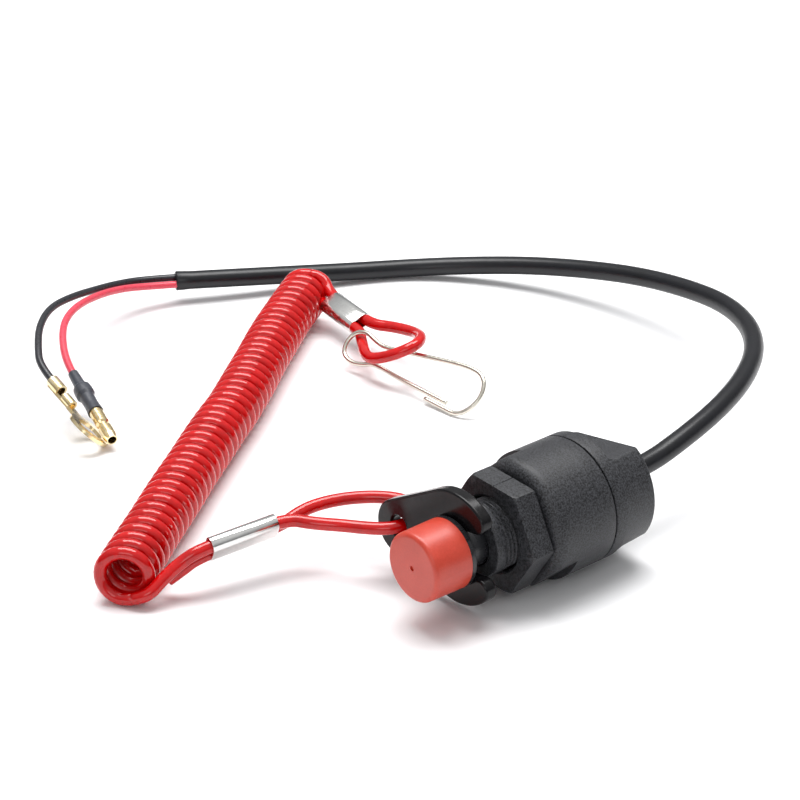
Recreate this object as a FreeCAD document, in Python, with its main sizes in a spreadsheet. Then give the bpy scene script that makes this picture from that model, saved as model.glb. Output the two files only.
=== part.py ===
import FreeCAD, Part
import math
import os

import Sketcher
from FreeCAD import Placement, Rotation, Vector

# Engine kill switch with a coiled lanyard.
# Millimetres. The switch axis is +Y, with the red button facing -Y and the cable leaving at +Y.
# The origin lies on the axis, where the barrel's shoulder seats on a panel. +Z is up.
# The switch lies on its barrel, so the floor is one barrel radius below the axis.

doc = FreeCAD.newDocument("kill_switch")
sheet = doc.addObject("Spreadsheet::Sheet", "Sizes")


class Measure:
    """A size and the formula that gives it, so that a feature can be bound to the sheet."""

    def __init__(self, text, value):
        self.text = text
        self.value = value

    def join(self, sign, other, value):
        return Measure("(%s %s %s)" % (self.text, sign, measure(other).text), value)

    def __add__(self, other):
        return self.join("+", other, self.value + measure(other).value)

    def __sub__(self, other):
        return self.join("-", other, self.value - measure(other).value)

    def __mul__(self, other):
        return self.join("*", other, self.value * measure(other).value)

    def __truediv__(self, other):
        return self.join("/", other, self.value / measure(other).value)

    def __neg__(self):
        return Measure("(0 - %s)" % self.text, -self.value)


def measure(number):
    """A Measure of a plain number, or the Measure itself."""
    if isinstance(number, Measure):
        return number
    return Measure("%.6g" % number, float(number))


row = 0


def size(alias, value, note):
    """Write one driving size into the sheet and return it as a Measure."""
    global row
    row = row + 1
    sheet.set("A%d" % row, alias)
    sheet.set("B%d" % row, "%g" % value)
    sheet.set("C%d" % row, note)
    sheet.setAlias("B%d" % row, alias)
    doc.recompute([sheet])
    return Measure("Sizes.%s" % alias, float(sheet.get(alias)))


# Driving sizes of the housing
barrel_radius = size("barrel_radius", 13.94, "round body of the switch")
barrel_length = size("barrel_length", 16.2, "from the panel seat to the seam of the rear cap")
shoulder_round = size("shoulder_round", 2.6, "rounding of the front shoulder")
barrel_flat = size("barrel_flat", 12.67, "height of the two wrench flats above the axis")
barrel_flat_length = size("barrel_flat_length", 6.1, "how far the wrench flats run back")
flat_angle = size("flat_angle", -46.7, "direction in degrees that one wrench flat faces")
neck_radius = size("neck_radius", 8.0, "crests of the neck's thread")
neck_length = size("neck_length", 11.1, "from the panel seat to the neck's front face")
neck_flat = size("neck_flat", 7.53, "height of the neck's two flats above the axis")
neck_wall = size("neck_wall", 3.0, "front wall that guides the stem")
chamber_radius = size("chamber_radius", 6.2, "chamber of the return spring")
rear_bore_radius = size("rear_bore_radius", 11.2, "wide bore behind the chamber")
slide_gap = size("slide_gap", 0.08, "running clearance of the stem in its guide")
seat_gap = size("seat_gap", 0.1, "clearance of a piece that is seated inside another")
edge_break = size("edge_break", 0.4, "small rounding of moulded edges")

# Driving sizes of the rear cap and the cable's inlet
cap_length = size("cap_length", 11.8, "rear cap from the seam to the rear face")
cap_collar = size("cap_collar", 3.1, "full round collar of the rear cap")
cap_rear_radius = size("cap_rear_radius", 13.25, "rear face of the tapering cap")
cap_flat = size("cap_flat", 9.54, "height of the rear cap's flats above the axis")
cap_flat_angle = size("cap_flat_angle", 100.6, "direction in degrees that one flat of the cap faces")
cap_flat_blend = size("cap_flat_blend", 1.5, "curved run-out where the flats start")
cap_rear_wall = size("cap_rear_wall", 3.5, "rear wall that holds the cable")
cap_chamber = size("cap_chamber", 6.8, "radius of the space round the cable clamp")
spigot_length = size("spigot_length", 3.0, "part of the cap that plugs into the barrel")
spigot_wall = size("spigot_wall", 1.6, "wall of the spigot")
clamp_radius = size("clamp_radius", 4.4, "crimped ring that keeps the cable in")
clamp_length = size("clamp_length", 2.0, "length of the crimped ring")

# Driving sizes of the nut
nut_flats = size("nut_flats", 22.5, "across the flats of the hexagon nut")
nut_length = size("nut_length", 5.41, "thickness of the nut")
nut_standoff = size("nut_standoff", 0.55, "gap between the nut and the panel seat")
nut_turn = size("nut_turn", -2.06, "angle in degrees of the nut's first corner")
nut_chamfer = size("nut_chamfer", 1.0, "how deep the front chamfer cuts the corners")

# Driving sizes of the button
stem_radius = size("stem_radius", 4.8, "stem that slides in the neck")
clip_room = size("clip_room", 5.2, "groove between the collar and the neck")
collar_radius = size("collar_radius", 7.6, "collar behind the red cap")
collar_length = size("collar_length", 1.3, "thickness of the collar")
button_radius = size("button_radius", 7.56, "red cap at its rear rim")
button_front_radius = size("button_front_radius", 7.45, "red cap at its front")
button_length = size("button_length", 9.4, "length of the red cap")
button_round = size("button_round", 1.0, "rounded front edge of the red cap")
button_wall = size("button_wall", 1.9, "wall of the red cap round the stem's head")
dimple_radius = size("dimple_radius", 0.55, "moulding mark at the centre of the cap")
dimple_depth = size("dimple_depth", 0.35, "depth of the moulding mark")
press_travel = size("press_travel", 1.8, "travel of the button with the clip in place")
flange_radius = size("flange_radius", 5.95, "flange that the return spring pushes on")
flange_length = size("flange_length", 1.7, "thickness of the flange")
spring_room = size("spring_room", 10.6, "length of the return spring at rest")
spring_wire = size("spring_wire", 0.8, "wire of the return spring")
spring_turns = size("spring_turns", 2, "turns of the return spring")
seal_section = size("seal_section", 1.0, "section of the stem's ring seal")

# Driving sizes of the contacts
bridge_radius = size("bridge_radius", 5.4, "moving contact disc")
bridge_thickness = size("bridge_thickness", 0.8, "thickness of the moving contact")
nose_radius = size("nose_radius", 1.8, "nose of the plunger that carries the disc")
nose_length = size("nose_length", 1.4, "length of the nose")
contact_gap = size("contact_gap", 0.3, "gap left when the button is pressed")
contact_spread = size("contact_spread", 3.8, "distance of each fixed contact from the axis")
contact_head = size("contact_head", 1.7, "radius of a fixed contact's head")
contact_head_length = size("contact_head_length", 0.8, "thickness of a fixed contact's head")
contact_shaft = size("contact_shaft", 0.9, "radius of a fixed contact's shaft")
contact_tail = size("contact_tail", 1.5, "length of the shaft behind the carrier")
carrier_length = size("carrier_length", 4.0, "thickness of the contact carrier")

# Driving sizes of the stop clip
clip_thickness = size("clip_thickness", 2.8, "thickness of the clip's plate")
clip_gap = size("clip_gap", 0.4, "gap between the collar and the clip")
clip_ring = size("clip_ring", 12.4, "outer radius of the clip's ring")
clip_lift = size("clip_lift", 0.5, "height of the ring's centre above the axis")
clip_angle = size("clip_angle", 190, "direction in degrees of the clip's tab")
clip_tab_reach = size("clip_tab_reach", 17.9, "from the ring's centre to the centre of the tab's tip")
clip_tab_radius = size("clip_tab_radius", 6.2, "radius of the tab's tip")
clip_side_gap = size("clip_side_gap", 0.15, "clearance between the stem and the clip's fork")
clip_lobe_round = size("clip_lobe_round", 2.4, "rounded ends of the fork")
clip_edge_round = size("clip_edge_round", 0.5, "rounded edges of the plate")
clip_hole_width = size("clip_hole_width", 4.4, "cord hole across the tab")
clip_hole_length = size("clip_hole_length", 5.2, "cord hole along its long side")
clip_hole_reach = size("clip_hole_reach", 17.1, "from the axis to the middle of the cord hole")

# Driving sizes of the lanyard
cord_radius = size("cord_radius", 1.39, "red cord of the lanyard")
coil_radius = size("coil_radius", 6.33, "outside of the coiled lanyard")
sleeve_wall = size("sleeve_wall", 0.35, "sheet of the crimp sleeves")
sleeve_gap = size("sleeve_gap", 0.06, "clearance of the cords in a sleeve")
near_sleeve_length = size("near_sleeve_length", 15.1, "crimp sleeve next to the switch")
far_sleeve_length = size("far_sleeve_length", 13.7, "crimp sleeve next to the snap hook")
hook_wire = size("hook_wire", 0.55, "radius of the snap hook's wire")

# Driving sizes of the cable
sheath_radius = size("sheath_radius", 2.3, "black outer sheath of the cable")
wire_radius = size("wire_radius", 0.9, "insulated wires inside the sheath")
boot_radius = size("boot_radius", 1.65, "insulating boot of the bullet terminal")
boot_neck = size("boot_neck", 1.2, "boot where the wire enters it")
boot_bump = size("boot_bump", 2.2, "widest part of the boot, over the terminal's crimp")
boot_length = size("boot_length", 15.2, "length of the boot")
bullet_radius = size("bullet_radius", 1.6, "bullet terminal")
bullet_shank = size("bullet_shank", 1.2, "part of the bullet that sits in the boot")
bullet_seat = size("bullet_seat", 2.5, "length of the bullet inside the boot")
bullet_length = size("bullet_length", 10.6, "bare length of the bullet")
bullet_bore = size("bullet_bore", 1.0, "hollow tip of the bullet")
lug_grip = size("lug_grip", 1.5, "outer radius of the crimp round the wire's insulation")
lug_grip_length = size("lug_grip_length", 4.0, "length of that crimp")
lug_barrel = size("lug_barrel", 1.2, "outer radius of the crimp round the bare strands")
lug_barrel_start = size("lug_barrel_start", 6.0, "from the terminal's end to that crimp")
lug_barrel_length = size("lug_barrel_length", 3.3, "length of that crimp")
lug_sheet = size("lug_sheet", 0.8, "sheet of the ring terminal")
lug_ring = size("lug_ring", 5.3, "outer radius of the ring")
lug_hole = size("lug_hole", 3.2, "radius of the ring's hole")
lug_reach = size("lug_reach", 17.5, "from the terminal's end to the middle of the ring")

# Places along the switch axis that follow from the sizes
floor = -barrel_radius
neck_front = -neck_length
collar_rear = neck_front - clip_room
collar_front = collar_rear - collar_length
button_front = collar_front - button_length
chamber_front = neck_front + neck_wall
flange_front = chamber_front + spring_room
bridge_front = flange_front + flange_length
bridge_rear = bridge_front + bridge_thickness
head_front = bridge_rear + press_travel + contact_gap
carrier_front = head_front + contact_head_length
carrier_rear = carrier_front + carrier_length
spigot_front = barrel_length - spigot_length
collar_end = barrel_length + cap_collar
cap_rear = barrel_length + cap_length
cap_wall_front = cap_rear - cap_rear_wall
clip_front = collar_rear + clip_gap
clip_rear = clip_front + clip_thickness

pieces = []


def keep(feature, label):
    """Name a finished piece and keep it for the export."""
    feature.Label = label
    pieces.append(feature)
    return feature


def origin_plane(body, role):
    """One of the three origin planes of a body."""
    return [item for item in body.Origin.OriginFeatures if item.Role == role][0]


def new_sketch(body, name, role):
    """An empty sketch on one of the body's own origin planes."""
    sketch = body.newObject("Sketcher::SketchObject", name)
    sketch.AttachmentSupport = [(origin_plane(body, role), "")]
    sketch.MapMode = "FlatFace"
    return sketch


def bind_point(sketch, line, end, across, along):
    """Hold one end of a sketch line at two measures from the origin."""
    for kind, axis, value in (("DistanceX", -2, across), ("DistanceY", -1, along)):
        if abs(value.value) < 1e-9:
            sketch.addConstraint(Sketcher.Constraint("PointOnObject", line, end, axis))
        else:
            index = sketch.addConstraint(Sketcher.Constraint(kind, -1, 1, line, end, value.value))
            sketch.setExpression("Constraints[%d]" % index, value.text)


def closed_outline(sketch, corners):
    """Draw a closed outline of straight lines, each corner held by its two measures."""
    corners = [(measure(across), measure(along)) for across, along in corners]
    count = len(corners)
    for index in range(count):
        start = corners[index]
        stop = corners[(index + 1) % count]
        first = Vector(start[0].value, start[1].value, 0)
        last = Vector(stop[0].value, stop[1].value, 0)
        sketch.addGeometry(Part.LineSegment(first, last), False)
    for index in range(count):
        following = (index + 1) % count
        sketch.addConstraint(Sketcher.Constraint("Coincident", index, 2, following, 1))
    for index in range(count):
        bind_point(sketch, index, 1, corners[index][0], corners[index][1])


def turned(name, corners):
    """A body turned about the switch axis from a half section of (radius, place) corners."""
    body = doc.addObject("PartDesign::Body", name)
    sketch = new_sketch(body, name + "_section", "XY_Plane")
    closed_outline(sketch, corners)
    turn = body.newObject("PartDesign::Revolution", name + "_turn")
    turn.Profile = sketch
    turn.ReferenceAxis = (sketch, ["V_Axis"])
    turn.Angle = 360
    sketch.Visibility = False
    doc.recompute()
    return body


def round_edges(body, name, radius, test):
    """Round the edges of a body that pass a test."""
    base = body.Tip
    names = []
    for number, edge in enumerate(base.Shape.Edges, 1):
        if test(edge):
            names.append("Edge%d" % number)
    fillet = body.newObject("PartDesign::Fillet", name)
    fillet.Base = (base, names)
    fillet.setExpression("Radius", measure(radius).text)
    doc.recompute()
    return fillet


def ring_edge(radius, place):
    """A test for the full or broken circle of a radius at a place along the axis."""

    def test(edge):
        if not isinstance(edge.Curve, Part.Circle):
            return False
        centre = edge.Curve.Center
        near_place = abs(centre.y - place.value) < 1e-4
        return near_place and abs(edge.Curve.Radius - radius.value) < 1e-4

    return test


def bind_base(feature, x, y, z):
    """Bind a feature's place to three measures."""
    for axis, value in zip("xyz", (x, y, z)):
        feature.setExpression("Placement.Base." + axis, measure(value).text)


def rod(name, radius, length, start, x=0, z=0):
    """A cylinder along +Y."""
    feature = doc.addObject("Part::Cylinder", name)
    feature.Placement = Placement(Vector(), Rotation(Vector(1, 0, 0), -90))
    feature.setExpression("Radius", measure(radius).text)
    feature.setExpression("Height", measure(length).text)
    bind_base(feature, x, start, z)
    return feature


def cone(name, front_radius, rear_radius, length, start):
    """A cone along +Y."""
    feature = doc.addObject("Part::Cone", name)
    feature.Placement = Placement(Vector(), Rotation(Vector(1, 0, 0), -90))
    feature.setExpression("Radius1", measure(front_radius).text)
    feature.setExpression("Radius2", measure(rear_radius).text)
    feature.setExpression("Height", measure(length).text)
    bind_base(feature, 0, start, 0)
    return feature


def cut(name, base, tools):
    """The base less one tool after another."""
    for number, tool in enumerate(tools, 1):
        result = doc.addObject("Part::Cut", "%s_cut_%d" % (name, number))
        result.Base = base
        result.Tool = tool
        base = result
    doc.recompute()
    return base


def fuse(name, shapes):
    """One solid from pieces that touch or overlap."""
    result = doc.addObject("Part::MultiFuse", name)
    result.Shapes = shapes
    result.Refine = True
    doc.recompute()
    return result


def flat_cutter(name, angle, height, start, length, blend=0):
    """A block that leaves a flat at a height above the axis, facing an angle in the XZ plane."""
    block = doc.addObject("Part::Box", name)
    reach = barrel_radius * 3
    block.setExpression("Length", reach.text)
    block.setExpression("Width", measure(length).text)
    block.setExpression("Height", barrel_radius.text)
    facing = math.radians(angle.value)
    turn = Rotation(Vector(0, 1, 0), 90 - angle.value)
    corner = Vector(-reach.value / 2, 0, height.value)
    block.Placement = Placement(turn.multVec(corner), turn)
    block.setExpression("Placement.Base.y", measure(start).text)
    half = "%s / 2" % reach.text
    angle_text = "(%s * 1deg)" % angle.text
    across = "(0 - %s) * sin(%s) + %s * cos(%s)" % (half, angle_text, height.text, angle_text)
    upward = "%s * cos(%s) + %s * sin(%s)" % (half, angle_text, height.text, angle_text)
    block.setExpression("Placement.Base.x", across)
    block.setExpression("Placement.Base.z", upward)
    block.setExpression("Placement.Rotation.Angle", "90 - %s" % angle.text)
    doc.recompute()
    if blend == 0:
        return block
    out = Vector(math.cos(facing), 0, math.sin(facing))
    rounded = doc.addObject("Part::Fillet", name + "_blend")
    rounded.Base = block
    picked = []
    for number, edge in enumerate(block.Shape.Edges, 1):
        middle = edge.CenterOfMass
        at_flat = abs(middle.dot(out) - height.value) < 1e-4
        at_start = abs(middle.y - measure(start).value) < 1e-4
        if at_flat and at_start:
            picked.append((number, blend.value, blend.value))
    rounded.Edges = picked
    doc.recompute()
    return rounded


def pair_of_flats(name, angle, height, start, length, blend=0):
    """Two cutters for flats on opposite sides."""
    first = flat_cutter(name + "_a", angle, height, start, length, blend)
    second = flat_cutter(name + "_b", angle + 180, height, start, length, blend)
    return [first, second]


# Housing: barrel and threaded neck, moulded in one piece
seat = measure(0)
guide_radius = stem_radius + slide_gap
seal_outer = guide_radius + seal_section
seal_place = (neck_front + chamber_front) / 2
seal_half = seal_section / 2 + seat_gap
housing_body = turned(
    "housing_body",
    [
        (neck_radius, neck_front),
        (neck_radius, seat),
        (barrel_radius, seat),
        (barrel_radius, barrel_length),
        (rear_bore_radius, barrel_length),
        (rear_bore_radius, carrier_front),
        (chamber_radius, carrier_front),
        (chamber_radius, chamber_front),
        (guide_radius, chamber_front),
        (guide_radius, seal_place + seal_half),
        (seal_outer, seal_place + seal_half),
        (seal_outer, seal_place - seal_half),
        (guide_radius, seal_place - seal_half),
        (guide_radius, neck_front),
    ],
)
round_edges(housing_body, "shoulder_rounding", shoulder_round, ring_edge(barrel_radius, seat))
round_edges(housing_body, "neck_rounding", edge_break, ring_edge(neck_radius, neck_front))
barrel_flats = pair_of_flats("barrel_flat", flat_angle, barrel_flat, -edge_break, barrel_flat_length + edge_break)
neck_flats = pair_of_flats("neck_flat", flat_angle, neck_flat, neck_front - 1, neck_length + 0.999)
keep(cut("housing", housing_body, barrel_flats + neck_flats), "housing")

# Rear cap: full round collar, tapering rear with two flats, and a spigot inside the barrel
spigot_radius = rear_bore_radius - seat_gap
cap_bore = sheath_radius + slide_gap
rear_cap_body = turned(
    "rear_cap_body",
    [
        (spigot_radius, spigot_front),
        (spigot_radius, barrel_length),
        (barrel_radius, barrel_length),
        (barrel_radius, collar_end),
        (cap_rear_radius, cap_rear),
        (cap_bore, cap_rear),
        (cap_bore, cap_wall_front),
        (cap_chamber, cap_wall_front),
        (cap_chamber, collar_end),
        (spigot_radius - spigot_wall, collar_end),
        (spigot_radius - spigot_wall, spigot_front),
    ],
)
round_edges(rear_cap_body, "cap_rounding", edge_break, ring_edge(cap_rear_radius, cap_rear))
cap_flats = pair_of_flats("cap_flat", cap_flat_angle, cap_flat, collar_end, cap_length, cap_flat_blend)
keep(cut("rear_cap", rear_cap_body, cap_flats), "rear_cap")

# Hexagon nut with a chamfered front
nut_start = -nut_standoff - nut_length
nut_prism = doc.addObject("Part::Prism", "nut_prism")
nut_prism.Polygon = 6
# The hexagon is turned about its own axis, which points along +Y
nut_spin = Rotation(Vector(0, 1, 0), -nut_turn.value)
nut_prism.Placement = Placement(Vector(), nut_spin.multiply(Rotation(Vector(1, 0, 0), -90)))
nut_prism.setExpression("Circumradius", "%s / sqrt(3)" % nut_flats.text)
nut_prism.setExpression("Height", nut_length.text)
bind_base(nut_prism, 0, nut_start, 0)
corner_radius = nut_flats / math.sqrt(3)
chamfer_cone = cone("nut_chamfer_cone", corner_radius - nut_chamfer, corner_radius + nut_length - nut_chamfer,
                    nut_length, nut_start)
nut_blank = doc.addObject("Part::MultiCommon", "nut_blank")
nut_blank.Shapes = [nut_prism, chamfer_cone]
nut_bore = rod("nut_bore", neck_radius + slide_gap, nut_length + 2, nut_start - 1)
keep(cut("nut", nut_blank, [nut_bore]), "hex_nut")

# Plunger: head inside the cap, collar, stem, spring flange and the nose for the moving contact
head_radius = button_radius - button_wall
head_length = button_length - button_wall - seat_gap
plunger_body = turned(
    "plunger_body",
    [
        (0, collar_front - head_length),
        (head_radius - edge_break, collar_front - head_length),
        (head_radius - edge_break, collar_front),
        (collar_radius, collar_front),
        (collar_radius, collar_rear),
        (stem_radius, collar_rear),
        (stem_radius, flange_front),
        (flange_radius, flange_front),
        (flange_radius, bridge_front),
        (nose_radius, bridge_front),
        (nose_radius, bridge_front + nose_length),
        (0, bridge_front + nose_length),
    ],
)
round_edges(plunger_body, "collar_rounding", edge_break, ring_edge(collar_radius, collar_rear))
keep(plunger_body, "plunger")

# Red cap pressed onto the plunger's head
cap_inside = head_radius - edge_break + seat_gap / 2
red_cap_body = turned(
    "red_cap_body",
    [
        (0, button_front + dimple_depth),
        (dimple_radius, button_front + dimple_depth),
        (dimple_radius, button_front),
        (button_front_radius, button_front),
        (button_radius, collar_front),
        (cap_inside, collar_front),
        (cap_inside, button_front + button_wall),
        (0, button_front + button_wall),
    ],
)
round_edges(red_cap_body, "cap_front_rounding", button_round, ring_edge(button_front_radius, button_front))
keep(red_cap_body, "red_cap")

# Ring seal in the neck's groove
seal = doc.addObject("Part::Torus", "seal_ring")
seal.Placement = Placement(Vector(), Rotation(Vector(1, 0, 0), -90))
seal.setExpression("Radius1", (guide_radius + seal_section / 2).text)
seal.setExpression("Radius2", (seal_section / 2 - slide_gap / 2).text)
bind_base(seal, 0, seal_place, 0)
keep(seal, "stem_seal")

# Moving contact, carried by the plunger's nose
bridge_disc = rod("bridge_disc", bridge_radius, bridge_thickness, bridge_front)
bridge_hole = rod("bridge_hole", nose_radius + slide_gap / 2, bridge_thickness + 2, bridge_front - 1)
keep(cut("bridge", bridge_disc, [bridge_hole]), "moving_contact")

# Contact carrier on the chamber's shoulder, with two riveted contacts
carrier_disc = rod("carrier_disc", rear_bore_radius - seat_gap, carrier_length, carrier_front)
contact_holes = []
for side, sign in (("left", -1), ("right", 1)):
    place = contact_spread * sign
    hole = rod("carrier_hole_" + side, contact_shaft + seat_gap / 2, carrier_length + 2, carrier_front - 1, place)
    contact_holes.append(hole)
    head = rod("contact_head_" + side, contact_head, contact_head_length, head_front, place)
    shaft = rod("contact_shaft_" + side, contact_shaft, carrier_length + contact_tail, carrier_front, place)
    keep(fuse("contact_" + side, [head, shaft]), "fixed_contact_" + side)
keep(cut("carrier", carrier_disc, contact_holes), "contact_carrier")

# Crimped ring that stops the cable from being pulled out of the rear cap
clamp_ring = rod("clamp_ring", clamp_radius, clamp_length, cap_wall_front - clamp_length)
clamp_hole = rod("clamp_hole", cap_bore, clamp_length + 2, cap_wall_front - clamp_length - 1)
keep(cut("clamp", clamp_ring, [clamp_hole]), "cable_clamp")


def polar(radius, angle):
    """A point in the XZ plane."""
    return Vector(radius * math.cos(math.radians(angle)), 0, radius * math.sin(math.radians(angle)))


def corner_arc(before, corner, after):
    """The tangent arc at a corner of a route, as its two ends, its middle and its radius."""
    back = before - corner
    ahead = after - corner
    half_turn = (math.pi - back.getAngle(ahead)) / 2
    shorter = min(back.Length, ahead.Length)
    reach = 0.45 * shorter
    radius = reach / math.tan(half_turn)
    back.normalize()
    ahead.normalize()
    inward = back + ahead
    inward.normalize()
    middle = corner + inward * (radius / math.cos(half_turn) - radius)
    return corner + back * reach, middle, corner + ahead * reach, radius


def rounded_route(points):
    """A smooth wire of straight runs and tangent arcs, and its smallest radius."""
    edges = []
    radii = []
    start = points[0]
    for before, corner, after in zip(points, points[1:], points[2:]):
        arc_start, arc_middle, arc_stop, radius = corner_arc(before, corner, after)
        edges.append(Part.LineSegment(start, arc_start).toShape())
        edges.append(Part.Arc(arc_start, arc_middle, arc_stop).toShape())
        radii.append(radius)
        start = arc_stop
    edges.append(Part.LineSegment(start, points[-1]).toShape())
    return Part.Wire(edges), radii


def tube(points, radius):
    """A round solid along a rounded route."""
    wire, radii = rounded_route(points)
    heading = points[1] - points[0]
    ring = Part.Wire([Part.Circle(points[0], heading, radius).toShape()])
    return wire.makePipeShell([ring], True, False), wire.Length, radii


def cord(label, route, radius):
    """A cord, cable or bent wire as a plain tube along its route."""
    points = [Vector(*point) for point in route]
    shape, length, radii = tube(points, radius)
    expected = math.pi * radius * radius * length
    print("%-16s length %.1f  smallest arc %.1f  volume ratio %.4f" % (label, length, min(radii),
                                                                     shape.Volume / expected))
    feature = doc.addObject("Part::Feature", label + "_tube")
    feature.Shape = shape
    return keep(feature, label)


# Stop clip: a teardrop plate with a fork round the stem and a cord hole in its tab
ring_centre = Vector(0, clip_front.value, clip_lift.value)
tab_centre = ring_centre + polar(clip_tab_reach.value, clip_angle.value)
spread = math.degrees(math.acos((clip_ring.value - clip_tab_radius.value) / clip_tab_reach.value))
plate_edges = []
upper = clip_angle.value - spread
lower = clip_angle.value + spread
ring_upper = ring_centre + polar(clip_ring.value, upper)
ring_lower = ring_centre + polar(clip_ring.value, lower)
tab_upper = tab_centre + polar(clip_tab_radius.value, upper)
tab_lower = tab_centre + polar(clip_tab_radius.value, lower)
tab_end = tab_centre + polar(clip_tab_radius.value, clip_angle.value)
ring_end = ring_centre + polar(clip_ring.value, clip_angle.value + 180)
plate_edges.append(Part.LineSegment(ring_upper, tab_upper).toShape())
plate_edges.append(Part.Arc(tab_upper, tab_end, tab_lower).toShape())
plate_edges.append(Part.LineSegment(tab_lower, ring_lower).toShape())
plate_edges.append(Part.Arc(ring_lower, ring_end, ring_upper).toShape())
plate_face = Part.Face(Part.Wire(Part.__sortEdges__(plate_edges)))
plate = plate_face.extrude(Vector(0, clip_thickness.value, 0))
fork = stem_radius.value + clip_side_gap.value
through = Vector(0, clip_thickness.value + 2, 0)
fork_round = Part.makeCylinder(fork, through.y, Vector(0, clip_front.value - 1, 0), Vector(0, 1, 0))
fork_way = Part.makeBox(clip_ring.value * 2, through.y, fork * 2, Vector(0, clip_front.value - 1, -fork))
fork_way.rotate(Vector(), Vector(0, 1, 0), -(clip_angle.value - 180))
half_width = clip_hole_width.value / 2
straight = clip_hole_length.value / 2 - half_width
hole_middle = polar(clip_hole_reach.value, clip_angle.value - 3)
hole_middle.y = clip_front.value - 1
hole_box = Part.makeBox(half_width * 2, through.y, straight * 2,
                        hole_middle - Vector(half_width, 0, straight))
cord_hole = hole_box
for sign in (-1, 1):
    hole_end = hole_middle + Vector(0, 0, straight * sign)
    cord_hole = cord_hole.fuse(Part.makeCylinder(half_width, through.y, hole_end, Vector(0, 1, 0)))
clip_shape = plate.cut([fork_round, fork_way, cord_hole.removeSplitter()]).removeSplitter()


def lobe_corner(edge):
    """True for the straight edges across the plate at the ends of the fork."""
    if not isinstance(edge.Curve, (Part.Line, Part.LineSegment)):
        return False
    crosswise = abs(edge.tangentAt(edge.FirstParameter).y) > 0.99
    return crosswise and edge.CenterOfMass.x > stem_radius.value


lobes = [edge for edge in clip_shape.Edges if lobe_corner(edge)]
clip_shape = clip_shape.makeFillet(clip_lobe_round.value, lobes)


def outer_rim(edge):
    """True for the outline edges on either face of the plate, the cord hole and fork left out."""
    middle = edge.valueAt((edge.FirstParameter + edge.LastParameter) / 2)
    on_face = min(abs(middle.y - clip_front.value), abs(middle.y - clip_rear.value)) < 1e-5
    flat = abs(edge.BoundBox.YLength) < 1e-5
    from_axis = math.hypot(middle.x, middle.z)
    in_hole = abs(middle.x - hole_middle.x) < half_width + 0.1 and abs(middle.z - hole_middle.z) < straight * 3
    return on_face and flat and from_axis > fork + 0.05 and not in_hole


rims = [edge for edge in clip_shape.Edges if outer_rim(edge)]
clip_shape = clip_shape.makeFillet(clip_edge_round.value, rims)
clip_feature = doc.addObject("Part::Feature", "clip_plate")
clip_feature.Shape = clip_shape
keep(clip_feature, "stop_clip")

# Return spring round the stem, from the neck's wall to the plunger's flange
spring_radius = (stem_radius.value + chamber_radius.value) / 2
spring_corners = 8
spring_steps = int(spring_turns.value * spring_corners)
spring_start = chamber_front.value + spring_wire.value * 0.6
spring_rise = (spring_room.value - spring_wire.value * 1.2) / spring_steps
# The wire's line touches the middle of each run, so its corners stand a little outside it
spring_corner_radius = spring_radius / math.cos(math.pi / spring_corners)
spring_points = []
for step in range(spring_steps + 1):
    spot = polar(spring_corner_radius, step * 360 / spring_corners)
    spring_points.append(spot + Vector(0, spring_start + spring_rise * step, 0))
spring_first = (spring_points[0] + spring_points[1]) / 2
spring_last = (spring_points[-2] + spring_points[-1]) / 2
cord("return_spring", [spring_first] + spring_points[1:-1] + [spring_last], spring_wire.value / 2)

# Black sheath of the cable, from inside the rear cap to its cut end
sheath_route = [
    (0, 19.9, 0),
    (0, 37.5, 0),
    (-0.9, 51.0, 2.3),
    (-3.6, 64.8, 3.9),
    (-8.9, 78.2, 4.5),
    (-17.4, 91.3, 4.2),
    (-29.0, 101.9, 3.2),
    (-43.5, 109.2, 1.6),
    (-59.5, 112.0, -0.6),
    (-75.5, 111.9, -2.9),
    (-91.0, 109.2, -5.6),
    (-105.5, 103.8, -7.9),
    (-118.8, 95.6, -10.0),
    (-129.6, 85.6, -11.4),
    (-137.0, 72.8, -11.2),
    (-142.9, 58.6, -9.9),
    (-149.2, 44.6, -8.8),
    (-156.8, 30.4, -8.2),
]
cord("cable_sheath", sheath_route, sheath_radius.value)

# The two insulated wires from the sheath's end to their terminals
black_route = [
    (-157.8, 30.7, -7.7),
    (-160.2, 23.1, -6.8),
    (-159.4, 14.5, -5.2),
    (-156.0, 5.9, -3.0),
    (-152.1, -3.4, -0.7),
    (-147.8, -12.8, 0.7),
    (-141.3, -20.3, 0.4),
    (-134.5, -25.3, -1.0),
    (-128.6, -28.8, -2.8),
    (-121.1, -29.2, -4.9),
]
red_route = [
    (-156.4, 29.5, -8.8),
    (-158.3, 22.4, -7.9),
    (-156.9, 14.2, -5.6),
    (-153.6, 5.4, -3.4),
    (-149.6, -3.6, -2.0),
    (-144.4, -11.0, -1.7),
    (-138.0, -16.3, -2.6),
    (-130.4, -20.5, -4.7),
    (-125.2, -21.9, -5.9),
]
cord("black_wire", black_route, wire_radius.value)
cord("red_wire", red_route, wire_radius.value)

# Inner ends of the two wires, from the fixed contacts to the sheath
contact_end = carrier_rear.value + contact_tail.value
for label, sign in (("black_core_tail", 1), ("red_core_tail", -1)):
    spot = contact_spread.value * sign
    tail_route = [
        (spot, contact_end + 0.2, 0),
        (spot * 0.93, contact_end + 1.6, 0.15 * sign),
        (spot * 0.5, contact_end + 3.2, 0.2 * sign),
        (spot * 0.29, 19.0, 0),
        (spot * 0.27, 19.8, -0.05 * sign),
    ]
    cord(label, tail_route, contact_shaft.value)

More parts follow.
